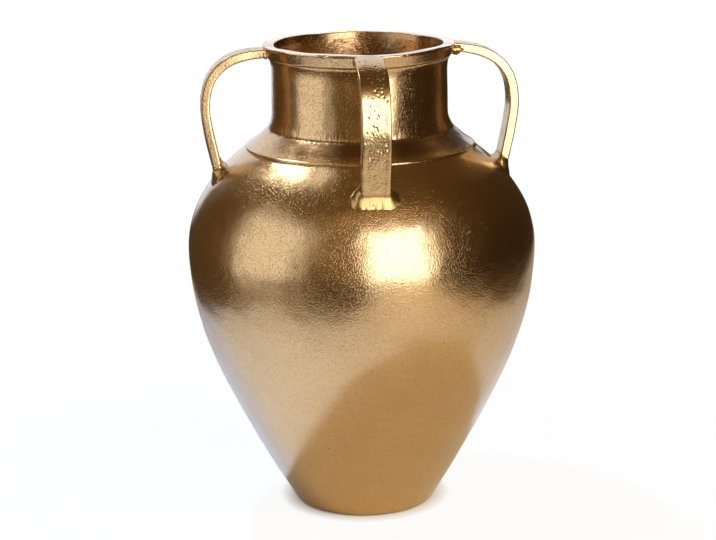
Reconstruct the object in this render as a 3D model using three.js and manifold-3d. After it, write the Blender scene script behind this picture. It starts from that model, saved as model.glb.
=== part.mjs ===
// A gold-finished cast metal vase with four strap handles.
// The belly is two castings joined at the widest line. The neck casting, with its flared collar, sits on
// the shoulder, and a rim ring sits on the neck. Each strap handle is welded to the ring and to the
// shoulder. A base plate closes the foot, which stands on felt pads.
// Millimetres, +Z up. The origin is on the vase's axis, on the surface that it stands on.

import * as THREE from "three";
import { mergeVertices } from "three/addons/utils/BufferGeometryUtils.js";
import Module from "manifold-3d";

const wasm = await Module();
wasm.setup();

// Driving dimensions: the belly
const footRadius = 58.4;
const footEdge = 0.8; // chamfer round the foot
const footFlare = THREE.MathUtils.degToRad(30); // wall at the foot, from the vertical
const footRun = 105; // how far the wall keeps that direction
const bellyRadius = 140.8;
const bellyHeight = 214.5; // from the underside of the foot to the widest line
const fullnessBelow = 66; // how far the wall stays upright below the widest line
const fullnessAbove = 43.5; // and above it
const shoulderRise = 91; // from the widest line to the seat of the neck
const shoulderSlope = THREE.MathUtils.degToRad(36); // at the seat, from the horizontal
const shoulderRun = 34.5;
const bodyWall = 4;
const tongueHeight = 8; // the lower casting's tongue inside the upper casting
const tongueThickness = 1.8;

// Driving dimensions: the neck and its collar
const neckRadius = 70.5;
const neckWall = 3.7;
const neckFootRise = 10; // from the seat to where the neck's side would meet the collar
const neckFillet = 5; // how far the fillet there reaches along each face
const neckLength = 53; // from there to the underside of the rim ring
const collarReach = 20.8; // the collar's edge beyond the neck
const collarLap = 10.5; // how far the collar covers the shoulder
const collarEdge = 1.7; // thickness of the collar at its edge
const spigotWall = 3; // the neck's spigot inside the shoulder's opening
const spigotDepth = 7;
const coveHeight = 11; // the hollow curve from the neck out to the ring
const coveReach = 3.1;

// Driving dimensions: the rim ring
const bandHeight = 10.5;
const bandFootReach = 4.2; // the band's lower edge beyond the neck
const lipReach = 6.3; // the lip beyond the neck
const lipEdge = 1.4; // rounding of the lip
const ringSpigotWall = 1.8; // the neck's spigot inside the ring
const ringSpigotHeight = 5;

// Driving dimensions: the strap handles
const strapWidth = 22.5;
const strapThickness = 7.5;
const strapEdge = 0.9; // chamfer along the strap
const strapProud = 0.2; // the strap's top above the lip
const strapRoot = 4; // how far the strap's line starts inside the lip, before it is trimmed
const handleTopSlope = THREE.MathUtils.degToRad(5); // fall of the strap as it leaves the lip
const handleTopRun = 35;
const handleReach = 47; // the strap's line beyond the lip, where it is widest
const handleDrop = 50; // from the lip down to that widest point
const handleBendRun = 31;
const handleLegRun = 10;
const handleFootGap = 23; // from the collar's edge to the foot of the strap's line
const handleLegLean = THREE.MathUtils.degToRad(14); // of the leg at its foot, from the vertical
const handleFootRun = 18;
const legOverrun = 14; // how far the strap runs on below the shoulder, before it is trimmed

// Driving dimensions: the welds
const footWeldHeight = 5; // square to the shoulder
const footWeldLip = 1.1; // beyond the strap, at the weld's top
const footWeldSpread = 7; // beyond each side of the strap, at the shoulder
const footWeldToe = 4.5; // beyond the strap's outer and inner faces, at the shoulder
const footWeldSink = 4; // how far the skirt runs on below the shoulder, before it is trimmed
const rimWeldRun = 9; // out along the strap
const rimWeldDrop = 2.6; // down the band from the strap's underside
const rimWeldSpread = 2.4; // beyond each side of the strap

// Driving dimensions: the base
const floorThickness = 4;
const plateHoleRadius = 44;
const plateLedge = 5; // the plate's head beyond the hole
const plateThickness = 3;
const plateRecess = 0.6; // the plate's underside above the foot's
const plateEdge = 0.8;
const padCount = 4;
const padDiameter = 11;
const padThickness = 1;

// Clearance between pieces that seat in or on each other
const fitGap = 0.3;

// Facets round the axis, and steps along the curves
const roundSides = 48;
const padSides = 16;
const longSteps = 10;
const bendSteps = 9;
const shortSteps = 4;
const searchSteps = 40; // halvings when a height on the wall is looked for
const mergeDistance = 1e-4; // corners closer than this are one corner

// Heights and radii that follow from the driving dimensions
const floorTop = padThickness + floorThickness;
const seamHeight = padThickness + bellyHeight;
const shoulderHeight = seamHeight + shoulderRise;
const neckFootHeight = shoulderHeight + neckFootRise;
const ringSeat = neckFootHeight + neckLength;
const rimHeight = ringSeat + bandHeight;
const mouthRadius = neckRadius - neckWall;
const spigotRadius = mouthRadius + spigotWall;
const shoulderHoleRadius = spigotRadius + fitGap;
const collarRadius = neckRadius + collarReach;
const shoulderRadius = collarRadius - collarLap;
const bandFootRadius = neckRadius + bandFootReach;
const lipRadius = neckRadius + lipReach;
const ringSpigotRadius = mouthRadius + ringSpigotWall;
const tongueRadius = bellyRadius - bodyWall + tongueThickness;
const handleFootRadius = collarRadius + handleFootGap;

const point = (radius, height) => new THREE.Vector2(radius, height);

// The outer wall, as radius and height: foot to widest line, and widest line to the neck's seat
const footPoint = point(footRadius, padThickness + footEdge);
const bellyPoint = point(bellyRadius, seamHeight);
const shoulderPoint = point(shoulderRadius, shoulderHeight);
const lowerWall = new THREE.CubicBezierCurve(
  footPoint,
  point(footRadius + footRun * Math.sin(footFlare), footPoint.y + footRun * Math.cos(footFlare)),
  point(bellyRadius, seamHeight - fullnessBelow),
  bellyPoint,
);
const upperWall = new THREE.CubicBezierCurve(
  bellyPoint,
  point(bellyRadius, seamHeight + fullnessAbove),
  point(
    shoulderRadius + shoulderRun * Math.cos(shoulderSlope),
    shoulderHeight - shoulderRun * Math.sin(shoulderSlope),
  ),
  shoulderPoint,
);

// A point of a wall moved square to it, outwards where distance is positive.
function besideWall(wall, t, distance) {
  const along = wall.getTangent(t);
  return wall.getPoint(t).add(point(along.y, -along.x).multiplyScalar(distance));
}

function offsetWall(wall, distance, steps, from = 0, to = 1) {
  return Array.from({ length: steps + 1 }, (_, i) =>
    besideWall(wall, from + ((to - from) * i) / steps, distance),
  );
}

// Where the upper wall has a given radius: it narrows steadily from the widest line to the seat.
function upperWallAt(radius) {
  let low = 0;
  let high = 1;
  for (let i = 0; i < searchSteps; i++) {
    const middle = (low + high) / 2;
    if (upperWall.getPoint(middle).x > radius) low = middle;
    else high = middle;
  }
  return low;
}

// The radius of a rising outline at a given height.
function radiusAt(outline, height) {
  const i = outline.findIndex((p) => p.y >= height);
  const below = outline[Math.max(i - 1, 0)];
  const above = outline[Math.max(i, 1)];
  return below.x + ((above.x - below.x) * (height - below.y)) / (above.y - below.y);
}

const roundCorner = (from, corner, to, steps = shortSteps) =>
  new THREE.QuadraticBezierCurve(from, corner, to).getPoints(steps);

// A closed outline turned about the vertical axis.
const turned = (outline) =>
  new THREE.LatheGeometry([...outline, outline[0]], roundSides).rotateX(Math.PI / 2);

// A solid filled to the axis under an outline that runs from bottom to top.
const turnedToAxis = (outline) =>
  new THREE.LatheGeometry(
    [point(0, outline[0].y), ...outline, point(0, outline.at(-1).y)],
    roundSides,
  ).rotateX(Math.PI / 2);

function solidOf(geometry) {
  const bare = geometry.clone();
  bare.deleteAttribute("normal");
  bare.deleteAttribute("uv");
  const merged = mergeVertices(bare, mergeDistance);
  const vertProperties = new Float32Array(merged.attributes.position.array);
  const triVerts = new Uint32Array(merged.index.array);
  return new wasm.Manifold(new wasm.Mesh({ numProp: 3, vertProperties, triVerts }));
}

function geometryOf(solid) {
  const { vertProperties, triVerts } = solid.getMesh();
  const geometry = new THREE.BufferGeometry();
  geometry.setAttribute("position", new THREE.BufferAttribute(vertProperties, 3));
  geometry.setIndex(new THREE.BufferAttribute(triVerts, 1));
  geometry.computeVertexNormals();
  return geometry;
}

// Belly: the lower casting, with its floor flange and the tongue at its top
function lowerBelly() {
  const inside = offsetWall(lowerWall, -bodyWall, longSteps).filter((p) => p.y > floorTop);
  const floorCorner = point(radiusAt(offsetWall(lowerWall, -bodyWall, longSteps), floorTop), floorTop);
  return turned([
    point(footRadius - footEdge, padThickness),
    ...lowerWall.getPoints(longSteps),
    point(tongueRadius, seamHeight),
    point(tongueRadius, seamHeight + tongueHeight),
    point(bellyRadius - bodyWall, seamHeight + tongueHeight),
    ...inside.reverse(),
    floorCorner,
    point(plateHoleRadius, floorTop),
    point(plateHoleRadius, padThickness),
  ]);
}

// Belly: the upper casting, rebated over the tongue and flanged under the neck
function upperBelly() {
  const rebateTop = seamHeight + tongueHeight + fitGap;
  const rebateRadius = tongueRadius + fitGap;
  const whole = offsetWall(upperWall, -bodyWall, longSteps);
  const inside = whole.filter((p) => p.y > rebateTop);
  return turned([
    ...upperWall.getPoints(longSteps),
    point(shoulderHoleRadius, shoulderHeight),
    point(shoulderHoleRadius, whole.at(-1).y),
    ...inside.reverse(),
    point(radiusAt(whole, rebateTop), rebateTop),
    point(rebateRadius, rebateTop),
    point(rebateRadius, seamHeight),
  ]);
}

// Neck: a tube with a spigot at each end, a collar lapping over the shoulder and a cove under the ring
function neckWithCollar() {
  const collarStart = upperWallAt(collarRadius);
  const underCollar = offsetWall(upperWall, fitGap, shortSteps, collarStart, 1);
  const seat = underCollar.at(-1).y;
  const edgeTop = besideWall(upperWall, collarStart, fitGap + collarEdge);
  const edgeNose = upperWall
    .getTangent(collarStart)
    .multiplyScalar(-collarEdge)
    .add(besideWall(upperWall, collarStart, fitGap + collarEdge / 2));
  const neckFoot = point(neckRadius, neckFootHeight);
  const downCollar = edgeTop.clone().sub(neckFoot).normalize();
  const cove = roundCorner(
    point(neckRadius, ringSeat - coveHeight),
    point(neckRadius, ringSeat - coveReach),
    point(neckRadius + coveReach, ringSeat),
  );
  const footFillet = roundCorner(
    neckFoot.clone().addScaledVector(downCollar, neckFillet),
    neckFoot,
    point(neckRadius, neckFootHeight + neckFillet),
  );
  const spigotFoot = shoulderHeight - spigotDepth;
  return turned([
    ...roundCorner(underCollar[0], edgeNose, edgeTop),
    ...footFillet,
    ...cove,
    point(ringSpigotRadius, ringSeat),
    point(ringSpigotRadius, ringSeat + ringSpigotHeight),
    point(mouthRadius, ringSeat + ringSpigotHeight),
    point(mouthRadius, spigotFoot),
    point(spigotRadius, spigotFoot),
    point(spigotRadius, seat),
    ...underCollar.slice(1).reverse(),
  ]);
}

// Rim ring: a band that widens to a flat lip, counterbored over the neck's upper spigot
function rimRing() {
  const boreTop = ringSeat + ringSpigotHeight + fitGap;
  const boreRadius = ringSpigotRadius + fitGap;
  return turned([
    point(boreRadius, ringSeat),
    ...roundCorner(
      point(bandFootRadius - lipEdge, ringSeat),
      point(bandFootRadius, ringSeat),
      point(bandFootRadius + lipEdge * ((lipRadius - bandFootRadius) / bandHeight), ringSeat + lipEdge),
    ),
    ...roundCorner(
      point(lipRadius, rimHeight - lipEdge),
      point(lipRadius, rimHeight),
      point(lipRadius - lipEdge, rimHeight),
    ),
    ...roundCorner(
      point(mouthRadius + lipEdge, rimHeight),
      point(mouthRadius, rimHeight),
      point(mouthRadius, rimHeight - lipEdge),
    ),
    point(mouthRadius, boreTop),
    point(boreRadius, boreTop),
  ]);
}

// Handle: the strap's line from inside the lip, over the bend and down to the shoulder
const strapTop = rimHeight + strapProud - strapThickness / 2;
const strapStart = point(lipRadius - strapRoot, strapTop);
const strapWidest = point(lipRadius + handleReach, rimHeight - handleDrop);
const strapFoot = upperWall.getPoint(upperWallAt(handleFootRadius));
const legUp = point(Math.sin(handleLegLean), Math.cos(handleLegLean));
const strapBend = new THREE.CubicBezierCurve(
  strapStart,
  point(
    strapStart.x + handleTopRun * Math.cos(handleTopSlope),
    strapStart.y - handleTopRun * Math.sin(handleTopSlope),
  ),
  point(strapWidest.x, strapWidest.y + handleBendRun),
  strapWidest,
);
const strapLeg = new THREE.CubicBezierCurve(
  strapWidest,
  point(strapWidest.x, strapWidest.y - handleLegRun),
  strapFoot.clone().addScaledVector(legUp, handleFootRun),
  strapFoot,
);

// One side of the strap, at a distance from its line.
function strapSide(distance) {
  const leg = offsetWall(strapLeg, -distance, shortSteps);
  return [
    ...offsetWall(strapBend, -distance, bendSteps),
    ...leg.slice(1),
    leg.at(-1).clone().addScaledVector(legUp, -legOverrun),
  ];
}

// An outline in the radius and height plane, given a width across it and chamfered along its edges.
function acrossRadius(outline, width, edge) {
  const depth = width - 2 * edge;
  const bevel = { bevelThickness: edge, bevelSize: edge, bevelOffset: -edge, bevelSegments: 1 };
  return new THREE.ExtrudeGeometry(new THREE.Shape(outline), { depth, steps: 1, ...bevel })
    .translate(0, 0, -depth / 2)
    .rotateX(Math.PI / 2);
}

function untrimmedStrap(margin) {
  const half = strapThickness / 2 + margin;
  const outline = [...strapSide(half), ...strapSide(-half).reverse()];
  return solidOf(acrossRadius(outline, strapWidth + 2 * margin, strapEdge));
}

// What the straps and welds are trimmed by: the shoulder and the rim ring, each with its clearance
const trimSlope = (lipRadius - bandFootRadius) / bandHeight;
const trimReach = 4 * strapThickness;
const shoulderTrim = solidOf(turnedToAxis(offsetWall(upperWall, fitGap, longSteps)));
const ringTrim = solidOf(
  turnedToAxis([
    point(bandFootRadius + fitGap - trimSlope * trimReach, ringSeat - trimReach),
    point(lipRadius + fitGap, rimHeight),
    point(lipRadius + fitGap, rimHeight + trimReach),
  ]),
);

function strapHandle() {
  return geometryOf(untrimmedStrap(0).subtract(shoulderTrim).subtract(ringTrim));
}

// Weld round the strap's foot: a low skirt on the shoulder that narrows up to the strap
function footWeld() {
  const along = upperWall.getTangent(upperWallAt(handleFootRadius));
  const lean = legUp.dot(along) / legUp.cross(along); // of the leg up the shoulder, for each step off it
  const halfSlant = strapThickness / 2 / legUp.cross(along);
  const skirt = new THREE.BoxGeometry(2, 2, 1, 1, 1, shortSteps);
  const corners = skirt.attributes.position;
  for (let i = 0; i < corners.count; i++) {
    const up = THREE.MathUtils.lerp(-footWeldSink, footWeldHeight, corners.getZ(i) + 0.5);
    const flare = (1 - Math.max(up, 0) / footWeldHeight) ** 2;
    const toe = halfSlant + THREE.MathUtils.lerp(footWeldLip, footWeldToe, flare);
    const side = strapWidth / 2 + THREE.MathUtils.lerp(footWeldLip, footWeldSpread, flare);
    corners.setXYZ(i, corners.getX(i) * toe - lean * up, corners.getY(i) * side, up);
  }
  skirt.rotateY(Math.atan2(along.y, -along.x)).translate(strapFoot.x, 0, strapFoot.y);
  return geometryOf(solidOf(skirt).subtract(untrimmedStrap(fitGap)).subtract(shoulderTrim));
}

// Weld at the rim: a saddle under the strap's root, in the corner that it makes with the band
function rimWeld() {
  const underside = strapTop - strapThickness / 2;
  const saddle = [
    point(bandFootRadius - strapRoot, strapTop),
    point(bandFootRadius - strapRoot, underside - rimWeldDrop),
    ...roundCorner(
      point(lipRadius, underside - rimWeldDrop),
      point(lipRadius + rimWeldRun / 2, underside - rimWeldDrop),
      point(lipRadius + rimWeldRun, underside),
    ),
    point(lipRadius + rimWeldRun / 3, strapTop),
  ];
  const bar = solidOf(acrossRadius(saddle, strapWidth + 2 * rimWeldSpread, strapEdge));
  return geometryOf(bar.subtract(untrimmedStrap(fitGap)).subtract(ringTrim));
}

// Base plate: a stepped disc, dropped in from above
function basePlate() {
  const plugRadius = plateHoleRadius - fitGap;
  const headRadius = plateHoleRadius + plateLedge;
  const headTop = floorTop + plateThickness;
  return turnedToAxis([
    point(plugRadius, padThickness + plateRecess),
    point(plugRadius, floorTop),
    point(headRadius, floorTop),
    point(headRadius, headTop - plateEdge),
    point(headRadius - plateEdge, headTop),
  ]);
}

const felt = () =>
  new THREE.CylinderGeometry(padDiameter / 2, padDiameter / 2, padThickness, padSides).rotateX(Math.PI / 2);

// Finishes
const castGold = new THREE.MeshStandardMaterial({ color: 0xc79a52, roughness: 0.38, metalness: 1 });
const handleGold = new THREE.MeshStandardMaterial({ color: 0xd8ad62, roughness: 0.32, metalness: 1 });
const weldGold = new THREE.MeshStandardMaterial({ color: 0xd9b46e, roughness: 0.42, metalness: 1 });
const darkFelt = new THREE.MeshStandardMaterial({ color: 0x2b2622, roughness: 0.95, metalness: 0 });

const vase = new THREE.Group();

function addPiece(parent, name, geometry, material) {
  const piece = new THREE.Mesh(geometry, material);
  piece.name = name;
  parent.add(piece);
  return piece;
}

addPiece(vase, "lower_belly", lowerBelly(), castGold);
addPiece(vase, "upper_belly", upperBelly(), castGold);
addPiece(vase, "neck_collar", neckWithCollar(), castGold);
addPiece(vase, "rim_ring", rimRing(), castGold);
addPiece(vase, "base_plate", basePlate(), castGold);

const strap = strapHandle();
const skirt = footWeld();
const bead = rimWeld();
const sides = ["right", "back", "left", "front"];
sides.forEach((side, i) => {
  const arm = new THREE.Group();
  arm.rotation.z = (i * 2 * Math.PI) / sides.length;
  addPiece(arm, `${side}_handle`, strap, handleGold);
  addPiece(arm, `${side}_foot_weld`, skirt, weldGold);
  addPiece(arm, `${side}_rim_weld`, bead, weldGold);
  vase.add(arm);
});

const padCircle = (plateHoleRadius + footRadius - footEdge) / 2;
for (let i = 0; i < padCount; i++) {
  const turn = ((i + 0.5) * 2 * Math.PI) / padCount;
  const pad = addPiece(vase, `felt_pad_${i + 1}`, felt(), darkFelt);
  pad.position.set(padCircle * Math.cos(turn), padCircle * Math.sin(turn), padThickness / 2);
}

export default vase;
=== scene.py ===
import math
import random

import bmesh
import bpy
from mathutils import Matrix, Vector, noise


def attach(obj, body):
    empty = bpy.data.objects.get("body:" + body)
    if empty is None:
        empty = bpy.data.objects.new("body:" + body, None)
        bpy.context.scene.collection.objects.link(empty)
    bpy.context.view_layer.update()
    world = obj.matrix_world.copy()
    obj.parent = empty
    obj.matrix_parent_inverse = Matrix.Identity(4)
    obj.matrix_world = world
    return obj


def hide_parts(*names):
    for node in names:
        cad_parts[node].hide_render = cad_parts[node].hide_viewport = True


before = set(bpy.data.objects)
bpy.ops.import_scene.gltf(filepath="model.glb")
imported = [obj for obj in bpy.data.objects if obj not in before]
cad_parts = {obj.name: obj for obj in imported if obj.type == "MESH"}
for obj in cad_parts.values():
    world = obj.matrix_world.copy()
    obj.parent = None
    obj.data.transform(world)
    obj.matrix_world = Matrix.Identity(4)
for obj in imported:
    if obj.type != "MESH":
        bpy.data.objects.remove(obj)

scene = bpy.context.scene
scene.view_settings.view_transform = "Standard"
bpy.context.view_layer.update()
mm = 0.001  # one millimetre, in Blender's metres
sharpAngle = 38  # an edge that turns by more degrees than this shows as an edge
print("frame loaded with", len(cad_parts), "solids")


# Nodes and colours

def toLinear(hexColour):  # sRGB hex to the linear values that Blender mixes
    channels = [int(hexColour[i:i + 2], 16) / 255 for i in (0, 2, 4)]
    return [c / 12.92 if c <= 0.04045 else ((c + 0.055) / 1.055) ** 2.4 for c in channels] + [1.0]


def perMetre(size):  # a texture's scale, from the size of its features
    return 1 / (size * mm)


def addNode(tree, kind, inputs=None, **settings):  # an input is a fixed value or a socket to link
    node = tree.nodes.new("ShaderNode" + kind)
    for name, value in settings.items():
        setattr(node, name, value)
    for socket, value in (inputs or {}).items():
        if isinstance(value, bpy.types.NodeSocket):
            tree.links.new(value, node.inputs[socket])
        else:
            node.inputs[socket].default_value = value
    return node


def newMaterial(name):
    material = bpy.data.materials.new(name)
    material.use_nodes = True
    material.node_tree.nodes.clear()
    return material, material.node_tree


# Sand-cast aluminium under an antique gold lacquer. The cast skin is a fine orange peel that breaks up
# each highlight, the mould's sand leaves dents and small dark pits, and rubbing leaves patches of gloss.
# Moulding sand is about 0.3 mm. The peel and the dents are drawn coarser than that, so that they show.
# Its colour also carries painted shade: inside the mouth and on the collar's front.
castGold = {
    "gold": "CBA66E",
    "paleGold": "D8B685",
    "patchSize": 30,
    "patchSpread": (0.25, 0.75),  # the values of the patch pattern that change the gloss most
    "glossPatch": 0.03,
    "gloss": (0.19, 0.22, 0.19),  # roughness at the foot, at the belly's middle and from the shoulder up
    "grainHeight": (0.06, 0.17, 0.065),  # the peel's height at the same three places
    "grainSize": 1.5,
    "roughHeights": (40, 210),  # from the foot's value to the belly's
    "smoothHeights": (190, 265),  # from the belly's value to the shoulder's
    "gritBrown": "C09B63",
    "gritSize": 1.0,
    "gritShare": (0.55, 0.71),  # where a sand dent starts in the pattern, and where it is deepest
    "gritDepth": 0.055,
    "pitBrown": "5E4020",
    "pitSpacing": 7,
    "pitSize": 0.8,
    "pitShare": 0.3,
    "pitDepth": 0.3,
    "mouthShade": "A98150",  # painted shade inside the mouth, a darker gold
    "mouthShadeRadii": (67.6, 69),
    "mouthShadeFrom": 300,  # keeps the painted shade off the foot, which is narrower than the mouth too
    "collarShade": "6B4A24",  # painted shade on the collar's front
    "collarShadeHeights": (300, 304, 310, 315),  # where it starts, is full, starts to fade and ends
    "collarShadeShare": 0.7,
    "collarShadeSide": (-74, -54),  # the painted shade fades out towards the left
    "coat": 0.9,  # clear lacquer, which whitens the highlights
    "coatRoughness": 0.18,
}

# The same finish on the straps, which were filed: smoother, with closer and finer pits.
strapGold = castGold | {
    "gold": "CDA973",
    "paleGold": "D9BA86",
    "gloss": (0.23, 0.23, 0.23),
    "grainHeight": (0.025, 0.025, 0.025),
    "gritDepth": 0.02,
    "pitSpacing": 4.2,
    "pitSize": 0.65,
    "pitShare": 0.12,
    "collarShadeShare": 0.0,
    "coat": 0.6,
}

# The same finish on weld metal that was brushed: darker and duller, with closer pits.
weldGold = castGold | {
    "gold": "AC864C",
    "paleGold": "BC9A60",
    "gloss": (0.3, 0.3, 0.3),
    "grainHeight": (0.05, 0.05, 0.05),
    "gritDepth": 0.04,
    "pitSpacing": 4.0,
    "collarShadeShare": 0.0,
    "coat": 0.35,
}


def goldFinish(name, look):
    material, tree = newMaterial(name)
    place = addNode(tree, "TexCoord").outputs["Object"]
    spot = addNode(tree, "SeparateXYZ", {0: place})
    height = spot.outputs["Z"]

    # Patterns: patches of tone and gloss, the peel's grain, sand dents and pits
    patches = addNode(tree, "TexNoise", {
        "Vector": place, "Scale": perMetre(look["patchSize"]), "Detail": 4.0, "Roughness": 0.6,
    })
    grain = addNode(tree, "TexNoise", {
        "Vector": place, "Scale": perMetre(look["grainSize"]), "Detail": 1.0,
    })
    sand = addNode(tree, "TexNoise", {
        "Vector": place, "Scale": perMetre(look["gritSize"]), "Detail": 0.0, "Distortion": 0.4,
    })
    gritStart, gritFull = look["gritShare"]
    grit = addNode(tree, "MapRange", {
        "Value": sand.outputs["Fac"],
        "From Min": gritStart, "From Max": gritFull, "To Min": 0.0, "To Max": 1.0,
    })
    cells = addNode(tree, "TexVoronoi", {"Vector": place, "Scale": perMetre(look["pitSpacing"])})
    nearPit = addNode(tree, "MapRange", {
        "Value": cells.outputs["Distance"],
        "From Min": 0.0, "From Max": look["pitSize"] / look["pitSpacing"], "To Min": 1.0, "To Max": 0.0,
    })
    hasPit = addNode(tree, "Math", {0: cells.outputs["Color"], 1: look["pitShare"]}, operation="LESS_THAN")
    pit = addNode(tree, "Math", {0: nearPit.outputs[0], 1: hasPit.outputs[0]}, operation="MULTIPLY")

    # Where the inside of the mouth gets painted shade
    flat = addNode(tree, "VectorMath", {0: place, 1: (1, 1, 0)}, operation="MULTIPLY")
    fromAxis = addNode(tree, "VectorMath", {0: flat.outputs[0]}, operation="LENGTH")
    inner, outer = (radius * mm for radius in look["mouthShadeRadii"])
    nearAxis = addNode(tree, "MapRange", {
        "Value": fromAxis.outputs["Value"],
        "From Min": inner, "From Max": outer, "To Min": 1.0, "To Max": 0.0,
    })
    isHigh = addNode(tree, "Math", {0: height, 1: look["mouthShadeFrom"] * mm}, operation="GREATER_THAN")
    mouth = addNode(tree, "Math", {0: nearAxis.outputs[0], 1: isHigh.outputs[0]}, operation="MULTIPLY")

    # Where the collar gets painted shade: on its front, fading out towards the left
    start, full, fade, end = (h * mm for h in look["collarShadeHeights"])
    above = addNode(tree, "MapRange", {
        "Value": height, "From Min": start, "From Max": full, "To Min": 0.0, "To Max": look["collarShadeShare"],
    })
    below = addNode(tree, "MapRange", {
        "Value": height, "From Min": fade, "From Max": end, "To Min": 1.0, "To Max": 0.0,
    })
    gone, fullShadeAt = (x * mm for x in look["collarShadeSide"])
    shadeSideShare = addNode(tree, "MapRange", {
        "Value": spot.outputs["X"], "From Min": gone, "From Max": fullShadeAt, "To Min": 0.0, "To Max": 1.0,
    })
    band = addNode(tree, "Math", {0: above.outputs[0], 1: below.outputs[0]}, operation="MULTIPLY")
    collarShaded = addNode(tree, "Math", {0: band.outputs[0], 1: shadeSideShare.outputs[0]}, operation="MULTIPLY")

    # The mouth's layer and the collar's layer are painted shade.
    colourLayers = {
        "paleGold": patches.outputs["Fac"],
        "gritBrown": grit.outputs[0],
        "mouthShade": mouth.outputs[0],
        "collarShade": collarShaded.outputs[0],
        "pitBrown": pit.outputs[0],
    }
    colour = toLinear(look["gold"])
    for layer, share in colourLayers.items():
        mix = addNode(tree, "Mix", {
            "Factor": share, 6: colour, 7: toLinear(look[layer]),  # 6 and 7 are the colours to mix
        }, data_type="RGBA")
        colour = mix.outputs[2]

    # Gloss and the peel's height change up the vase
    upTheVase = {}
    low, high = (h * mm for h in look["roughHeights"])
    rubbedFrom, rubbedTo = (h * mm for h in look["smoothHeights"])
    for key, unit in (("gloss", 1), ("grainHeight", mm)):
        atFoot, atBelly, atNeck = (value * unit for value in look[key])
        footToBelly = addNode(tree, "MapRange", {
            "Value": height, "From Min": low, "From Max": high, "To Min": atFoot, "To Max": atBelly,
        })
        whole = addNode(tree, "MapRange", {
            "Value": height, "From Min": rubbedFrom, "From Max": rubbedTo,
            "To Min": footToBelly.outputs[0], "To Max": atNeck,
        })
        upTheVase[key] = whole.outputs[0]
    patchLow, patchHigh = look["patchSpread"]
    patchGloss = addNode(tree, "MapRange", {
        "Value": patches.outputs["Fac"], "From Min": patchLow, "From Max": patchHigh,
        "To Min": look["glossPatch"], "To Max": -look["glossPatch"],
    })
    roughness = addNode(tree, "Math", {0: upTheVase["gloss"], 1: patchGloss.outputs[0]}, operation="ADD")

    reliefs = [  # each pattern's height, and whether it sinks into the surface
        (grain.outputs["Fac"], upTheVase["grainHeight"], False),
        (grit.outputs[0], look["gritDepth"] * mm, True),
        (pit.outputs[0], look["pitDepth"] * mm, True),
    ]
    under = {}  # the bump that the next one lies on
    for pattern, depth, sinks in reliefs:
        relief = addNode(tree, "Bump", {
            "Height": pattern, "Distance": depth, "Strength": 1.0, **under,
        }, invert=sinks)
        under = {"Normal": relief.outputs[0]}

    gold = addNode(tree, "BsdfPrincipled", {
        "Base Color": colour, "Metallic": 1.0, "Roughness": roughness.outputs[0],
        "Coat Weight": look["coat"], "Coat Roughness": look["coatRoughness"], **under,
    })
    addNode(tree, "OutputMaterial", {"Surface": gold.outputs[0]})
    return material


# Pressed wool felt: matt, fibrous and a little fuzzy.
# The fibres are drawn coarser than wool is, so that they show.
woolFelt = {
    "dark": "241F1B", "light": "3A332D", "fibreSize": 0.5, "fibreHeight": 0.12,
    "roughness": 0.95, "sheen": 0.3, "sheenRoughness": 0.6,
}


def feltFinish(name, look):
    material, tree = newMaterial(name)
    place = addNode(tree, "TexCoord").outputs["Object"]
    fibres = addNode(tree, "TexNoise", {
        "Vector": place, "Scale": perMetre(look["fibreSize"]), "Detail": 3.0, "Distortion": 1.5,
    })
    colour = addNode(tree, "Mix", {
        "Factor": fibres.outputs["Fac"], 6: toLinear(look["dark"]), 7: toLinear(look["light"]),
    }, data_type="RGBA")
    fuzz = addNode(tree, "Bump", {
        "Height": fibres.outputs["Fac"], "Distance": look["fibreHeight"] * mm, "Strength": 1.0,
    })
    felt = addNode(tree, "BsdfPrincipled", {
        "Base Color": colour.outputs[2], "Roughness": look["roughness"], "Normal": fuzz.outputs[0],
        "Sheen Weight": look["sheen"], "Sheen Roughness": look["sheenRoughness"],
    })
    addNode(tree, "OutputMaterial", {"Surface": felt.outputs[0]})
    return material


bodyMaterial = goldFinish("castAluminiumGold", castGold)
strapMaterial = goldFinish("filedAluminiumGold", strapGold)
weldMaterial = goldFinish("weldedAluminiumGold", weldGold)
feltMaterial = feltFinish("pressedWoolFelt", woolFelt)
print("materials made")


# Lines in the radius and height plane
samePlace = 1e-4  # points that are closer than this are one


def onCurve(corners, t):
    while len(corners) > 1:
        corners = [a.lerp(b, t) for a, b in zip(corners, corners[1:])]
    return corners[0]


def curveLine(corners, steps=240):
    return [onCurve(corners, i / steps) for i in range(steps + 1)]


def spaced(line, step):  # the same line, with its points about one step apart
    lengths = [0.0]
    for a, b in zip(line, line[1:]):
        lengths.append(lengths[-1] + (b - a).length)
    count = max(1, round(lengths[-1] / step))
    points = []
    k = 0
    for i in range(count + 1):
        target = lengths[-1] * i / count
        while k < len(line) - 2 and lengths[k + 1] < target:
            k += 1
        share = (target - lengths[k]) / max(lengths[k + 1] - lengths[k], 1e-9)  # never divides by 0
        points.append(line[k].lerp(line[k + 1], share))
    return points


def straight(start, end, step):
    return spaced([Vector(start), Vector(end)], step)


def rounded(start, corner, end, steps=5):
    return curveLine([Vector(start), Vector(corner), Vector(end)], steps)


def direction(line, i):  # along the line at one of its points
    return (line[min(i + 1, len(line) - 1)] - line[max(i - 1, 0)]).normalized()


def besideLine(line, distance):  # moved to the right of its direction of travel
    moved = []
    for i, p in enumerate(line):
        along = direction(line, i)
        moved.append(p + Vector((along.y, -along.x)) * distance)
    return moved


def joined(*lines):  # one line, without the points that two neighbours share
    whole = []
    for line in lines:
        for p in line:
            if not whole or (p - whole[-1]).length > samePlace:
                whole.append(p)
    return whole


# Uneven hand-made surfaces: each entry is the size of a swell and its height
handWork = {"swells": (38, 0.5), "dents": (13, 0.16), "ripples": (5, 0.05)}
noise.seed_set(6)  # every run gives the same vase


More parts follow.
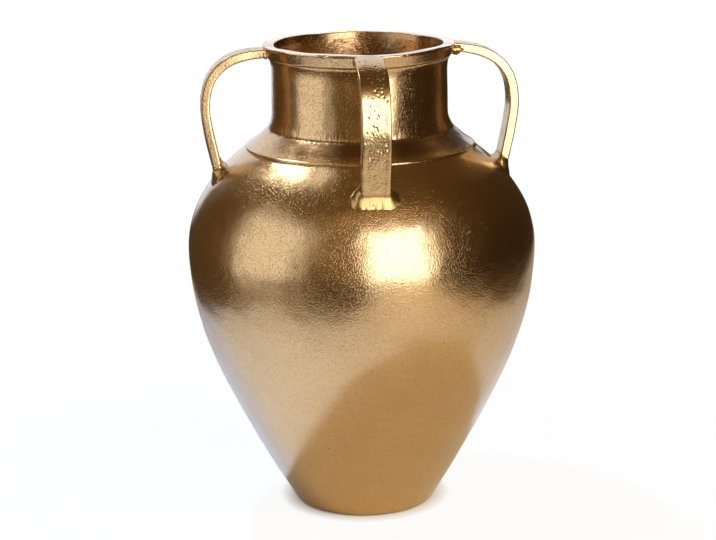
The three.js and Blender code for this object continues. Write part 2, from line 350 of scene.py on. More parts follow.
def castWaver(p):
    moved = Vector((0, 0, 0))
    for size, height in handWork.values():
        moved += noise.noise_vector(p / size) * height
    return moved


def awayFromAxis(p):
    return Vector((p.x, p.y, 0)).normalized()


def bump(distance, width):  # 1 at no distance, falling smoothly to 0
    return math.exp(-(distance / width) ** 2)


# Meshes

def skinned(name, rings, material, node, loop=False):  # a loop's last ring joins its first
    count = len(rings[0])
    faces = []
    for i in range(len(rings) if loop else len(rings) - 1):
        a = i * count
        b = (i + 1) % len(rings) * count
        faces += [(a + j, a + (j + 1) % count, b + (j + 1) % count, b + j) for j in range(count)]
    if not loop:
        faces.append(tuple(range(count)))
        faces.append(tuple(range((len(rings) - 1) * count, len(rings) * count)))
    mesh = bpy.data.meshes.new(name)
    mesh.from_pydata([p * mm for ring in rings for p in ring], [], faces)
    work = bmesh.new()
    work.from_mesh(mesh)
    bmesh.ops.recalc_face_normals(work, faces=work.faces)
    work.to_mesh(mesh)
    work.free()
    mesh.shade_smooth()
    mesh.set_sharp_from_angle(angle=math.radians(sharpAngle))
    mesh.materials.append(material)
    piece = bpy.data.objects.new(name, mesh)
    scene.collection.objects.link(piece)
    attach(piece, "root")
    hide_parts(node)


def turned(outline, sides, surface):  # rings about the axis, each point moved by the surface's unevenness
    rings = []
    for p in outline:
        ring = []
        for j in range(sides):
            turn = 2 * math.pi * j / sides
            spot = Vector((p.x * math.cos(turn), p.x * math.sin(turn), p.y))
            ring.append(spot + surface(spot))
        rings.append(ring)
    return rings


# Belly: two castings that meet flush at the widest line
belly = {
    "footRadius": 58.4, "footEdge": 0.8, "footFlare": 30, "footRun": 105,
    "radius": 140.8, "height": 214.5, "fullnessBelow": 66, "fullnessAbove": 40.2,
    "shoulderRise": 86.2, "shoulderSlope": 37, "shoulderRun": 32.8, "shoulderRadius": 87.3,
    "wall": 4, "tongueHeight": 8, "tongueThickness": 1.8, "clearance": 0.3, "floor": 4, "holeRadius": 44,
    "neckHoleRadius": 70.1, "padThickness": 1,
    "sides": 480, "step": 2.0, "insideStep": 6.0, "floorStep": 5, "jointStep": 3, "rebateStep": 4,
}
underFoot = belly["padThickness"]
floorTop = underFoot + belly["floor"]
seamHeight = underFoot + belly["height"]
shoulderHeight = seamHeight + belly["shoulderRise"]
flare = math.radians(belly["footFlare"])
slope = math.radians(belly["shoulderSlope"])
footPoint = Vector((belly["footRadius"], underFoot + belly["footEdge"]))
lowerWall = curveLine([
    footPoint,
    footPoint + Vector((math.sin(flare), math.cos(flare))) * belly["footRun"],
    Vector((belly["radius"], seamHeight - belly["fullnessBelow"])),
    Vector((belly["radius"], seamHeight)),
])
shoulderPoint = Vector((belly["shoulderRadius"], shoulderHeight))
upperWall = curveLine([
    Vector((belly["radius"], seamHeight)),
    Vector((belly["radius"], seamHeight + belly["fullnessAbove"])),
    shoulderPoint + Vector((math.cos(slope), -math.sin(slope))) * belly["shoulderRun"],
    shoulderPoint,
])


def shoulderAt(radius):  # the shoulder's point at a radius, and the direction square to it there
    for a, b in zip(upperWall, upperWall[1:]):
        if b.x <= radius:
            break
    along = (b - a).normalized()
    return a.lerp(b, (radius - a.x) / (b.x - a.x)), Vector((along.y, -along.x))


def bellyOutlines():  # each wall has a short row at the seam, so that the two shade as one
    wall, hole, gap = belly["wall"], belly["holeRadius"], belly["clearance"]
    tongue = belly["radius"] - wall + belly["tongueThickness"]
    tongueTop = seamHeight + belly["tongueHeight"]
    inside = [p for p in besideLine(lowerWall, -wall) if p.y > floorTop]
    lower = joined(
        straight((hole, underFoot), (footPoint.x - belly["footEdge"], underFoot), belly["floorStep"]),
        spaced(lowerWall[:-1], belly["step"]),
        lowerWall[-1:],
        straight((belly["radius"], seamHeight), (tongue, seamHeight), belly["jointStep"]),
        straight((tongue, tongueTop), (belly["radius"] - wall, tongueTop), belly["jointStep"]),
        spaced(inside[::-1], belly["insideStep"]),
        straight((inside[0].x, floorTop), (hole, floorTop), belly["floorStep"]),
    )
    ceiling = [p for p in besideLine(upperWall, -wall) if p.y > tongueTop + gap]
    neckHole = belly["neckHoleRadius"]
    upper = joined(
        upperWall[:1],
        spaced(upperWall[1:], belly["step"]),
        straight(shoulderPoint, (neckHole, shoulderHeight), belly["jointStep"]),
        straight((neckHole, ceiling[-1].y), ceiling[-1], belly["jointStep"]),
        spaced(ceiling[::-1], belly["insideStep"]),
        straight((tongue + gap, ceiling[0].y), (tongue + gap, seamHeight), belly["rebateStep"]),
    )
    return lower, upper


lowerOutline, upperOutline = bellyOutlines()
skinned("lowerBellyCasting", turned(lowerOutline, belly["sides"], castWaver),
        bodyMaterial, "lower_belly", loop=True)
skinned("upperBellyCasting", turned(upperOutline, belly["sides"], castWaver),
        bodyMaterial, "upper_belly", loop=True)
print("belly cast")


# Neck: a tube with a collar that laps over the shoulder, and a cove under the rim ring
neck = {
    "radius": 70.5, "wall": 3.7, "footRise": 10.8, "fillet": 3, "length": 57,
    "collarRadius": 91.3, "collarEdge": 1, "collarToe": 6, "collarHollow": 0.2, "sunk": 0.2,
    "edgeRound": 0.9, "edgeSide": 0.75, "edgeOver": 0.7,  # how far the collar's rounded edge reaches
    "spigotWall": 3, "spigotDepth": 7, "coveHeight": 11.5, "coveReach": 2.1,
    "ringSpigotWall": 1.8, "ringSpigotHeight": 5,
    "throatRadius": 65.2, "throatHeight": 359,  # the mouth narrows down to here
    "sides": 720, "step": 1.4, "throatStep": 2.8, "seatStep": 2, "lapStep": 3,
    # the rough line at the neck's foot, in lumps of two sizes
    "beadRise": -1, "beadHeight": 0.3, "beadWidth": 1.2, "beadLump": 2.0, "beadBase": 0.5,
    "fineLumps": 2.3, "fineShare": 0.5,
    # chisel marks above that line
    "markWidth": 1.7, "markLength": 9, "markDepth": 0.17, "markRise": 3, "markSpread": 5,
    # the collar's hollow is fuller under the left and right handles
    "sideFill": 4, "sideFillRise": -1, "sideFillHeight": 7, "sideFillFocus": 8,
    # the unfinished inside, which starts a skin's depth under the outer face
    "boreSize": 2.2, "bore": 0.12, "skin": 0.5,
}
mouthRadius = neck["radius"] - neck["wall"]
neckFoot = shoulderHeight + neck["footRise"]
ringSeat = neckFoot + neck["length"]


def neckOutline():
    edge, across = shoulderAt(neck["collarRadius"])
    down = Vector((across.y, -across.x))
    toe, toeAcross = shoulderAt(neck["collarRadius"] + neck["collarToe"])
    toe = toe - toeAcross * neck["sunk"]
    ridgeSide = edge + across * neck["collarEdge"] / 2 + down * neck["edgeSide"]
    ridgeTop = edge + across * neck["collarEdge"]
    corner = Vector((neck["radius"], neckFoot))
    outCollar = (ridgeTop - corner).normalized()
    ridgeBack = ridgeTop - outCollar * neck["edgeRound"]
    filletStart = corner + outCollar * neck["fillet"]
    inCollar = Vector((outCollar.y, -outCollar.x))
    # a curve goes halfway to its corner, so the corner is twice as far in
    hollow = (ridgeBack + filletStart) / 2 + inCollar * neck["collarHollow"] * 2
    filletEnd = corner + Vector((0, neck["fillet"]))
    coveStart = Vector((neck["radius"], ringSeat - neck["coveHeight"]))
    coveEnd = Vector((neck["radius"] + neck["coveReach"], ringSeat))
    spigot = mouthRadius + neck["spigotWall"]
    ringSpigot = mouthRadius + neck["ringSpigotWall"]
    spigotTop = ringSeat + neck["ringSpigotHeight"]
    spigotFoot = shoulderHeight - neck["spigotDepth"]
    throat = Vector((neck["throatRadius"], neck["throatHeight"]))
    return joined(
        rounded(toe, edge + down * neck["edgeRound"], ridgeSide, steps=6),
        rounded(ridgeSide, ridgeTop + down * neck["edgeOver"], ridgeBack, steps=8),
        rounded(ridgeBack, hollow, filletStart, steps=16),
        rounded(filletStart, corner, filletEnd, steps=10),
        straight(filletEnd, coveStart, neck["step"]),
        rounded(coveStart, (neck["radius"], ringSeat - neck["coveReach"]), coveEnd, steps=9),
        straight(coveEnd, (ringSpigot, ringSeat), neck["seatStep"]),
        straight((ringSpigot, spigotTop), (mouthRadius, spigotTop), neck["seatStep"]),
        straight((mouthRadius, spigotTop), throat, neck["step"]),
        straight(throat, (throat.x, spigotFoot), neck["throatStep"]),
        straight((spigot, spigotFoot), (spigot, shoulderHeight), neck["lapStep"]),
        straight((spigot, shoulderHeight), shoulderPoint, neck["lapStep"]),
    )


def neckSurface(p):
    away = awayFromAxis(p)
    if math.hypot(p.x, p.y) <= neck["radius"] - neck["skin"]:
        rough = neck["bore"] * noise.noise(p / neck["boreSize"])
        return castWaver(p) + away * rough
    aboveFoot = p.z - neckFoot
    lumpPlace = p / neck["beadLump"]
    lump = noise.noise(lumpPlace) + neck["fineShare"] * noise.noise(lumpPlace * neck["fineLumps"])
    nearBead = bump(aboveFoot - neck["beadRise"], neck["beadWidth"])
    bead = neck["beadHeight"] * (neck["beadBase"] + lump) * nearBead
    stroke = away * neck["radius"] / neck["markWidth"] + Vector((0, 0, p.z / neck["markLength"]))
    mark = neck["markDepth"] * noise.noise(stroke) * bump(aboveFoot - neck["markRise"], neck["markSpread"])
    atSide = away.x ** neck["sideFillFocus"]
    fill = neck["sideFill"] * atSide * bump(aboveFoot - neck["sideFillRise"], neck["sideFillHeight"])
    return castWaver(p) + away * (bead + mark + fill)


skinned("neckAndCollarCasting", turned(neckOutline(), neck["sides"], neckSurface),
        bodyMaterial, "neck_collar", loop=True)


# Rim ring: a band that widens to a flat lip, worn and slightly chipped at its edges
ring = {
    "height": 10.5, "footRadius": 73.4, "lipRadius": 76.8, "edge": 1.2, "footEdge": 1.2, "bulge": 1.6,
    "boreRadius": 68.9, "boreHeight": 5.3, "lipInset": 0.6,
    "sides": 480, "step": 1.2, "seatStep": 2, "throatStep": 1, "boreStep": 3,
    "wobbleSize": 30, "wobble": 0.9,
    "chipSize": 3.2, "chipLevel": 0.4, "chipDepth": 2.6, "chipReach": 1.3,
}
rimHeight = ringSeat + ring["height"]
lipRadius = ring["lipRadius"]
bandLean = (lipRadius - ring["footRadius"]) / ring["height"]


def ringOutline():
    foot, edge, footEdge = ring["footRadius"], ring["edge"], ring["footEdge"]
    bore, boreTop = ring["boreRadius"], ringSeat + ring["boreHeight"]
    bandFoot = (foot + bandLean * ring["bulge"], ringSeat + ring["bulge"])
    lipInner = mouthRadius + ring["lipInset"]
    return joined(
        straight((bore, ringSeat), (foot - footEdge, ringSeat), ring["seatStep"]),
        rounded((foot - footEdge, ringSeat), (foot, ringSeat), bandFoot, steps=8),
        straight(bandFoot, (lipRadius, rimHeight - edge), ring["step"]),
        rounded((lipRadius, rimHeight - edge), (lipRadius, rimHeight), (lipRadius - edge, rimHeight)),
        straight((lipRadius - edge, rimHeight), (lipInner + edge, rimHeight), ring["step"]),
        rounded((lipInner + edge, rimHeight), (lipInner, rimHeight), (lipInner, rimHeight - edge)),
        straight((lipInner, rimHeight - edge), (mouthRadius, boreTop), ring["throatStep"]),
        straight((bore, boreTop), (bore, ringSeat), ring["boreStep"]),
    )


def ringSurface(p):
    away = awayFromAxis(p)
    fromEdge = math.hypot(math.hypot(p.x, p.y) - lipRadius, p.z - rimHeight)
    chip = max(0.0, noise.noise(p / ring["chipSize"]) - ring["chipLevel"]) * ring["chipDepth"]
    gone = (away + Vector((0, 0, 1))) * chip * bump(fromEdge, ring["chipReach"])
    return castWaver(p) + noise.noise_vector(p / ring["wobbleSize"]) * ring["wobble"] - gone


skinned("rimRingCasting", turned(ringOutline(), ring["sides"], ringSurface),
        bodyMaterial, "rim_ring", loop=True)
print("neck and rim ring cast")


# Handles: a flat strap from the lip, over a bend and down to the shoulder
strap = {
    "width": 22.5, "thickness": 7.5, "corner": 1.2, "proud": 0.2, "root": 4,
    "topSlope": 5, "topRun": 35, "reach": 47, "drop": 50, "bendRun": 31, "legRun": 10,
    "footRadius": 114.3, "legLean": 14, "footRun": 18, "sink": 4,
    "acrossStep": 0.5, "sideStep": 1.0, "alongStep": 0.55,
    "border": 2.6, "borderEdge": 2, "dish": 0.12,
    "scratchWidth": 1.1, "scratchLength": 2.4, "scratch": 0.15,  # the rough outer face
    "faceMargin": 0.01,  # points this close to the outer face belong to it
    "holes": 45, "holeRuns": (12, 100), "holeSize": 0.75, "holeSizes": (0.6, 1.3), "holeDepth": 0.5,
    "holeReach": 2,  # no hole reaches further along than this
    "wander": 0.7, "wanderSize": 28, "wanderSlice": 0.5, "widthWander": 20, "thickWander": 14,
    "dentSize": 7, "dent": 0.12, "liftRun": 40,
    "crown": 1.3, "crownRun": 30,  # the outer face is rounded at the root
    "apart": 31.7, "wanderApart": 7.3,  # places in the noise, so that no two straps are alike
}
handles = {  # each handle's turn about the axis, its root's height above the lip, and its rim weld's size
    "right": (0, 0.0, 1.25), "back": (90, 1.4, 0.6), "left": (180, -2.0, 0.4), "front": (270, 0.0, 0.7),
}
strapTop = rimHeight + strap["proud"] - strap["thickness"] / 2
topSlope = math.radians(strap["topSlope"])
legLean = math.radians(strap["legLean"])
legUp = Vector((math.sin(legLean), math.cos(legLean)))
strapFoot, footNormal = shoulderAt(strap["footRadius"])


def strapLine():
    start = Vector((lipRadius - strap["root"], strapTop))
    widest = Vector((lipRadius + strap["reach"], rimHeight - strap["drop"]))
    bend = [
        start,
        start + Vector((math.cos(topSlope), -math.sin(topSlope))) * strap["topRun"],
        widest + Vector((0, strap["bendRun"])),
        widest,
    ]
    leg = [widest, widest - Vector((0, strap["legRun"])), strapFoot + legUp * strap["footRun"], strapFoot]
    end = strapFoot - legUp * strap["sink"]
    return spaced(joined(curveLine(bend), curveLine(leg), [end]), strap["alongStep"])


def strapSection():  # across and out from the strap's line, with the outer face first
    w, t, c = strap["width"] / 2, strap["thickness"] / 2, strap["corner"]
    return joined(
        straight((c - w, t), (w - c, t), strap["acrossStep"]),
        rounded((w - c, t), (w, t), (w, t - c), steps=4),
        straight((w, t - c), (w, c - t), strap["sideStep"]),
        rounded((w, c - t), (w, -t), (w - c, -t), steps=4),
        straight((w - c, -t), (c - w, -t), strap["sideStep"]),
        rounded((c - w, -t), (-w, -t), (-w, c - t), steps=4),
        straight((-w, c - t), (-w, t - c), strap["sideStep"]),
        rounded((-w, t - c), (-w, t), (c - w, t), steps=4)[:-1],
    )


def strapHoles(seed):
    dice = random.Random(seed)
    middle = strap["width"] / 2 - strap["border"]
    return [
        (dice.uniform(-middle, middle), dice.uniform(*strap["holeRuns"]), dice.uniform(*strap["holeSizes"]))
        for _ in range(strap["holes"])
    ]


def faceHeight(across, run, number, holes):  # how far the rough outer face stands off the flat
    inset = strap["width"] / 2 - strap["border"] - abs(across)
    middle = min(1.0, max(0.0, inset / strap["borderEdge"]))
    slanted = Vector((
        (across - run) / strap["scratchWidth"],
        (across + run) / strap["scratchLength"],
        number * strap["apart"],
    ))
    height = middle * (strap["scratch"] * noise.noise(slanted) - strap["dish"])
    for holeAcross, holeRun, size in holes:
        gap = math.hypot(across - holeAcross, run - holeRun) / (strap["holeSize"] * size)
        height -= strap["holeDepth"] * max(0.0, 1 - gap * gap)
    return height


def strapRings(number, lift):
    line = strapLine()
    section = strapSection()
    holes = strapHoles(number)
    outerFace = strap["thickness"] / 2 - strap["faceMargin"]
    rings = []
    for i, p in enumerate(line):
        run = i * strap["alongStep"]
        along = direction(line, i)
        out = Vector((-along.y, along.x))
        raised = p + Vector((0, lift * max(0.0, 1 - run / strap["liftRun"]) ** 2))
        strapPlace = number * strap["wanderApart"]
        wanderPlace = Vector((run / strap["wanderSize"], strapPlace, strap["wanderSlice"]))
        wander = noise.noise_vector(wanderPlace) * strap["wander"]
        closeHoles = [hole for hole in holes if abs(hole[1] - run) < strap["holeReach"]]
        crown = strap["crown"] / strap["thickness"] * 2 * max(0.0, 1 - run / strap["crownRun"])
        loop = []
        for across, rise in section:
            width = across * (1 + wander.x / strap["widthWander"])
            height = rise * (1 + wander.y / strap["thickWander"])
            if rise > outerFace:
                height += faceHeight(across, run, number, closeHoles)
            dentPlace = Vector((width, run, number * strap["apart"])) / strap["dentSize"]
            height += strap["dent"] * noise.noise(dentPlace)
            height -= crown * (across / strap["width"] * 2) ** 2 * max(0.0, rise)
            flat = raised + out * height
            loop.append(Vector((flat.x, width + wander.z, flat.y)))
        rings.append(loop)
    return rings


def aroundAxis(rings, degrees):
    spin = Matrix.Rotation(math.radians(degrees), 3, "Z")
    return [[spin @ p for p in loop] for loop in rings]


for number, (side, (degrees, lift, _)) in enumerate(handles.items()):
    skinned(f"{side}Strap", aroundAxis(strapRings(number, lift), degrees),
            strapMaterial, f"{side}_handle")
print("handles bent")


# Welds at the straps' feet: a brushed skirt that spreads onto the shoulder, with a ragged lower edge
footWeld = {
    "height": 6, "lip": 0.7, "spread": 7.6, "toe": 5, "sink": 1.5, "inside": -1.2, "rootDrop": 0.6,
    "flareSteps": 16, "flarePower": 1.8, "points": 180, "corner": 3, "cornerGrowth": 1.2, "cornerSteps": 8,
    "lumpSize": 6, "lump": 0.25, "lumpStart": 3, "outShare": 0.8, "upShare": 0.5,
    "ridgeSize": 1.1, "ridgeLength": 8, "ridge": 0.02,
    "ragSize": 2.6, "rag": 1, "ragPower": 4, "underRag": 0.5,
    "blobReach": 2.5, "blobWidth": 3.5, "blobRise": 0.4, "blob": 0.8,  # the bead ends in a lump on one side
    "lumpApart": 17.1, "ridgeApart": 5.9,  # places in the noise, so that no two skirts are alike
}


def roundedLoop(halfLong, halfWide, corner, count):
    c = min(corner, halfLong, halfWide)
    steps = footWeld["cornerSteps"]
    quarter = [
        Vector((halfLong - c + c * math.cos(a), halfWide - c + c * math.sin(a)))
        for a in (math.pi / 2 * i / steps for i in range(steps + 1))
    ]
    half = quarter + [Vector((-p.x, p.y)) for p in quarter[::-1]]
    whole = half + [Vector((p.x, -p.y)) for p in half[::-1]]
    closed = whole + whole[:1]
    length = sum((b - a).length for a, b in zip(closed, closed[1:]))
    return spaced(closed, length / count)[:count]


def onShoulder(radial, across, height):
    radius = math.hypot(radial, across)
    foot, normal = shoulderAt(radius)
    share = (radius + normal.x * height) / radius
    return Vector((radial * share, across * share, foot.y + normal.y * height))


def footWeldRows():  # each row's height, its reach past the strap's faces and sides, and how low it is
    top, lip, inside = footWeld["height"], footWeld["lip"], footWeld["inside"]
    toe, spread, sink = footWeld["toe"], footWeld["spread"], footWeld["sink"]
    rows = [(top - footWeld["rootDrop"], inside, inside, 0.0)]
    for i in range(footWeld["flareSteps"] + 1):
        fall = i / footWeld["flareSteps"]
        flared = fall ** footWeld["flarePower"]
        rows.append((top * (1 - fall), lip + (toe - lip) * flared, lip + (spread - lip) * flared, fall))
    rows.append((-sink, toe, spread, footWeld["underRag"]))
    rows.append((-sink, inside, inside, 0.0))
    return rows


def footWeldRings(number):
    upHill = Vector((-footNormal.y, footNormal.x))
    square = legUp.dot(footNormal)
    lean = legUp.dot(upHill) / square
    halfSlant = strap["thickness"] / 2 / square
    halfWidth = strap["width"] / 2
    rings = []
    for height, toe, side, low in footWeldRows():
        loop = []
        corner = footWeld["corner"] + max(toe, 0) * footWeld["cornerGrowth"]
        for down, across in roundedLoop(halfSlant + toe, halfWidth + side, corner, footWeld["points"]):
            place = Vector((down, across, number * footWeld["lumpApart"]))
            lump = footWeld["lump"] * noise.noise(place / footWeld["lumpSize"])
            stripe = Vector((
                across / footWeld["ridgeSize"],
                down / footWeld["ridgeLength"],
                number * footWeld["ridgeApart"],
            ))
            ridge = footWeld["ridge"] * noise.noise(stripe)
            rag = footWeld["rag"] * low ** footWeld["ragPower"] * noise.noise(place / footWeld["ragSize"])
            push = (lump + ridge) * min(1.0, low * footWeld["lumpStart"])
            nearBlob = bump(across + halfWidth + footWeld["blobReach"], footWeld["blobWidth"])
            swell = footWeld["blob"] * nearBlob * math.sin(math.pi * low)
            tall = height * (1 + footWeld["blobRise"] * nearBlob)
            reach = Vector((down, across)).normalized() * (push * footWeld["outShare"] + rag + swell)
            radial = strap["footRadius"] + (down + reach.x - lean * tall) * footNormal.y
            loop.append(onShoulder(radial, across + reach.y, tall + push * footWeld["upShare"]))
        rings.append(loop)
    return rings


# Welds at the lip: a lumpy bead round three sides of each strap's root, with blow holes
rimWeld = {
    "out": 4.6, "thick": 2.2, "start": 1.2, "corner": 2, "endDrop": 2.5, "tip": 0.35, "tipSteps": 8,
    "points": 24, "step": 0.6, "lumpSize": 3.6, "lump": 0.5,
    "holeSize": 2.4, "holeLevel": 0.28, "holeDepth": 1.6,
    "apart": 97,  # places in the noise, so that no two beads are alike
}


def rimWeldRings(number, lift, bulk):
    w, c = strap["width"] / 2, rimWeld["corner"]
    base = strapTop + lift
    bottom = base - strap["thickness"] / 2
    end = base + strap["thickness"] / 2 - rimWeld["endDrop"]
    path = spaced(joined(
        [Vector((-w, end))],
        rounded((-w, bottom + c), (-w, bottom), (c - w, bottom)),
        rounded((w - c, bottom), (w, bottom), (w, bottom + c)),
        [Vector((w, end))],
    ), rimWeld["step"])
    rings = []
    for i, p in enumerate(path):
        along = direction(path, i)
        away = Vector((along.y, -along.x))
        fromTip = min(i, len(path) - 1 - i)
        taper = bulk * min(1.0, rimWeld["tip"] + fromTip / rimWeld["tipSteps"])
        radius = lipRadius - bandLean * max(0.0, rimHeight - p.y) + rimWeld["start"]
        loop = []
        for k in range(rimWeld["points"]):
            angle = 2 * math.pi * k / rimWeld["points"]
            reach = math.cos(angle) * rimWeld["out"] * taper
            off = math.sin(angle) * rimWeld["thick"] * taper
            spot = Vector((
                radius + reach,
                p.x + away.x * off,
                p.y + away.y * off + number * rimWeld["apart"],
            ))
            lump = rimWeld["lump"] * noise.noise(spot / rimWeld["lumpSize"])
            hollow = max(0.0, noise.noise(spot / rimWeld["holeSize"]) - rimWeld["holeLevel"])
            grow = 1 + lump - hollow * rimWeld["holeDepth"]
            loop.append(Vector((
                radius + reach * grow,
                p.x + away.x * off * grow,
                p.y + away.y * off * grow,
            )))
        rings.append(loop)
    return rings


for number, (side, (degrees, lift, bulk)) in enumerate(handles.items()):
    skinned(f"{side}FootWeld", aroundAxis(footWeldRings(number), degrees),
            weldMaterial, f"{side}_foot_weld", loop=True)
    skinned(f"{side}RimWeld", aroundAxis(rimWeldRings(number, lift, bulk), degrees),
            weldMaterial, f"{side}_rim_weld")
print("welds laid")


# Base plate and the pads under the foot
plate = {
    "plugRadius": 43.7, "headRadius": 49, "thickness": 3, "recess": 0.6, "edge": 0.8, "middle": 2,
    "sides": 192, "step": 4, "seatStep": 3, "waver": 0.5,
}
pad = {
    "radius": 5.5, "edge": 0.25, "middle": 0.5, "circle": 50.8, "count": 4, "sides": 48, "step": 1,
    "fuzzSize": 1.5, "fuzz": 0.05,
}


def plateOutline():
    top = floorTop + plate["thickness"]
    under = underFoot + plate["recess"]
    plug, head, edge = plate["plugRadius"], plate["headRadius"], plate["edge"]
    return joined(
        straight((plate["middle"], under), (plug, under), plate["step"]),
        straight((plug, floorTop), (head, floorTop), plate["seatStep"]),
        rounded((head, top - edge), (head, top), (head - edge, top)),
        straight((head - edge, top), (plate["middle"], top), plate["step"]),
    )


def padOutline():
    r, e, top = pad["radius"], pad["edge"], underFoot
    return joined(
        straight((pad["middle"], 0), (r - e, 0), pad["step"]),
        rounded((r - e, 0), (r, 0), (r, e)),
        rounded((r, top - e), (r, top), (r - e, top)),
        straight((r - e, top), (pad["middle"], top), pad["step"]),
    )


def plateSurface(p):
    return castWaver(p) * plate["waver"]


def padSurface(p):
    return noise.noise_vector(p / pad["fuzzSize"]) * pad["fuzz"]


skinned("basePlateCasting", turned(plateOutline(), plate["sides"], plateSurface),
        bodyMaterial, "base_plate")
for number in range(pad["count"]):
    turn = (number + 0.5) * 2 * math.pi / pad["count"]  # halfway between the handles
    shift = Vector((math.cos(turn), math.sin(turn), 0)) * pad["circle"]
    rings = [[p + shift for p in loop] for loop in turned(padOutline(), pad["sides"], padSurface)]
    skinned(f"feltPad{number + 1}", rings, feltMaterial, f"felt_pad_{number + 1}")
print("base plate and pads in place")


# Studio: a white paper table with a narrow sweep behind it, in a dark room lit by softboxes
studio = {
    "leftFront": (-600, -340), "middleFront": (-150, -420), "rightFront": (500, -1100),
    "leftBack": (0, 1500), "rightBack": (560, 1500),
    "sweepRadius": 300, "sweepTop": 700, "sweepSteps": 16,
    "paperWhite": "F1F2F3", "white": "FFFFFF",
    "cameraWhite": 0.94, "whiteFrom": (180, 420),  # the paper is whiter away from the vase
    "mirrorWhite": 0.08, "contact": 12, "contactSamples": 8,
    "roomRadius": 5200, "roomFacets": 4, "roomColour": "FDC682",
    "roomLight": (0.042, 0.12), "glowSide": (-0.6, -0.15, 0.8),
    "ambient": 0.31, "ambientColour": "FFE2BE",
}


def stageObject(name, mesh, material):
    mesh.materials.append(material)
    item = bpy.data.objects.new(name, mesh)
    scene.collection.objects.link(item)
    return item


def paperMaterial():  # white to the camera, less so in the metal, and dark where the vase stands on it
    material, tree = newMaterial("whiteStudioPaper")
    rays = addNode(tree, "LightPath")
    mirrors = addNode(tree, "Math", {
        0: rays.outputs["Is Glossy Ray"], 1: rays.outputs["Is Transmission Ray"],
    }, operation="MAXIMUM")
    mirrorShare = addNode(tree, "Math", {
        0: mirrors.outputs[0], 1: studio["mirrorWhite"],
    }, operation="MULTIPLY")
    place = addNode(tree, "TexCoord").outputs["Object"]
    away = addNode(tree, "VectorMath", {0: place}, operation="LENGTH")
    near, far = (distance * mm for distance in studio["whiteFrom"])
    cameraShare = addNode(tree, "MapRange", {
        "Value": away.outputs["Value"], "From Min": near, "From Max": far,
        "To Min": studio["cameraWhite"], "To Max": 1.0,
    })
    white = addNode(tree, "Math", {
        0: rays.outputs["Is Camera Ray"], 1: cameraShare.outputs[0], 2: mirrorShare.outputs[0],
    }, operation="MULTIPLY_ADD")
    openSky = addNode(tree, "AmbientOcclusion", {
        "Distance": studio["contact"] * mm,
    }, samples=studio["contactSamples"])
    share = addNode(tree, "Math", {0: white.outputs[0], 1: openSky.outputs["AO"]}, operation="MULTIPLY")
    paper = addNode(tree, "BsdfDiffuse", {"Color": toLinear(studio["paperWhite"])})
    glow = addNode(tree, "Emission", {"Color": toLinear(studio["white"]), "Strength": 1.0})
    both = addNode(tree, "MixShader", {0: share.outputs[0], 1: paper.outputs[0], 2: glow.outputs[0]})
    addNode(tree, "OutputMaterial", {"Surface": both.outputs[0]})
    return material


def roomMaterial():  # a dim warm room that only the metal sees, lighter towards one side
    material, tree = newMaterial("darkStudioRoom")
    place = addNode(tree, "TexCoord").outputs["Object"]
    side = addNode(tree, "VectorMath", {0: place, 1: studio["glowSide"]}, operation="DOT_PRODUCT")
    reach = studio["roomRadius"] * mm / 2
    dim, light = studio["roomLight"]
    glow = addNode(tree, "MapRange", {
        "Value": side.outputs["Value"], "From Min": -reach, "From Max": reach,
        "To Min": dim, "To Max": light,
    })
    wall = addNode(tree, "Emission", {"Color": toLinear(studio["roomColour"]), "Strength": glow.outputs[0]})
    addNode(tree, "OutputMaterial", {"Surface": wall.outputs[0]})
    return material


def sweepMesh():
    r, steps = studio["sweepRadius"], studio["sweepSteps"]
    angles = [math.pi / 2 * i / steps for i in range(steps + 1)]
    rises = [(r * math.sin(a), r - r * math.cos(a)) for a in angles]
    rises.append((r, studio["sweepTop"]))
    points = [Vector((*studio["leftFront"], 0)), Vector((*studio["rightFront"], 0))]
    for behind, z in rises:
        for corner in ("leftBack", "rightBack"):
            x, y = studio[corner]
            points.append(Vector((x, y + behind, z)))
    points.append(Vector((*studio["middleFront"], 0)))
    points = [p * mm for p in points]
    faces = [(2 * i, 2 * i + 1, 2 * i + 3, 2 * i + 2) for i in range(1, len(rises))]
    faces.append((0, len(points) - 1, 1, 3, 2))
    mesh = bpy.data.meshes.new("tableAndSweep")
    mesh.from_pydata(points, [], faces)
    mesh.shade_smooth()
    return mesh


def roomMesh():
    mesh = bpy.data.meshes.new("studioRoom")
    work = bmesh.new()
    bmesh.ops.create_icosphere(work, subdivisions=studio["roomFacets"], radius=studio["roomRadius"] * mm)
    work.to_mesh(mesh)
    work.free()
    return mesh


def studioSky():  # white to the camera and to mirrors, and a dim warm light on everything else
    world = bpy.data.worlds.new("studioWorld")
    world.use_nodes = True
    tree = world.node_tree
    tree.nodes.clear()
    rays = addNode(tree, "LightPath")
    mirrors = addNode(tree, "Math", {
        0: rays.outputs["Is Glossy Ray"], 1: rays.outputs["Is Transmission Ray"],
    }, operation="MAXIMUM")
    seen = addNode(tree, "Math", {
        0: rays.outputs["Is Camera Ray"], 1: mirrors.outputs[0],
    }, operation="MAXIMUM")
    level = addNode(tree, "MapRange", {
        "Value": seen.outputs[0], "To Min": studio["ambient"], "To Max": 1.0,
    })
    colour = addNode(tree, "Mix", {
        "Factor": seen.outputs[0], 6: toLinear(studio["ambientColour"]), 7: toLinear(studio["white"]),
    }, data_type="RGBA")
    sky = addNode(tree, "Background", {"Color": colour.outputs[2], "Strength": level.outputs[0]})
    addNode(tree, "OutputWorld", {"Surface": sky.outputs[0]})
    return world


stageObject("tableAndSweep", sweepMesh(), paperMaterial())
room = stageObject("studioRoom", roomMesh(), roomMaterial())
room.visible_camera = False
room.visible_diffuse = False
room.visible_shadow = False
scene.world = studioSky()

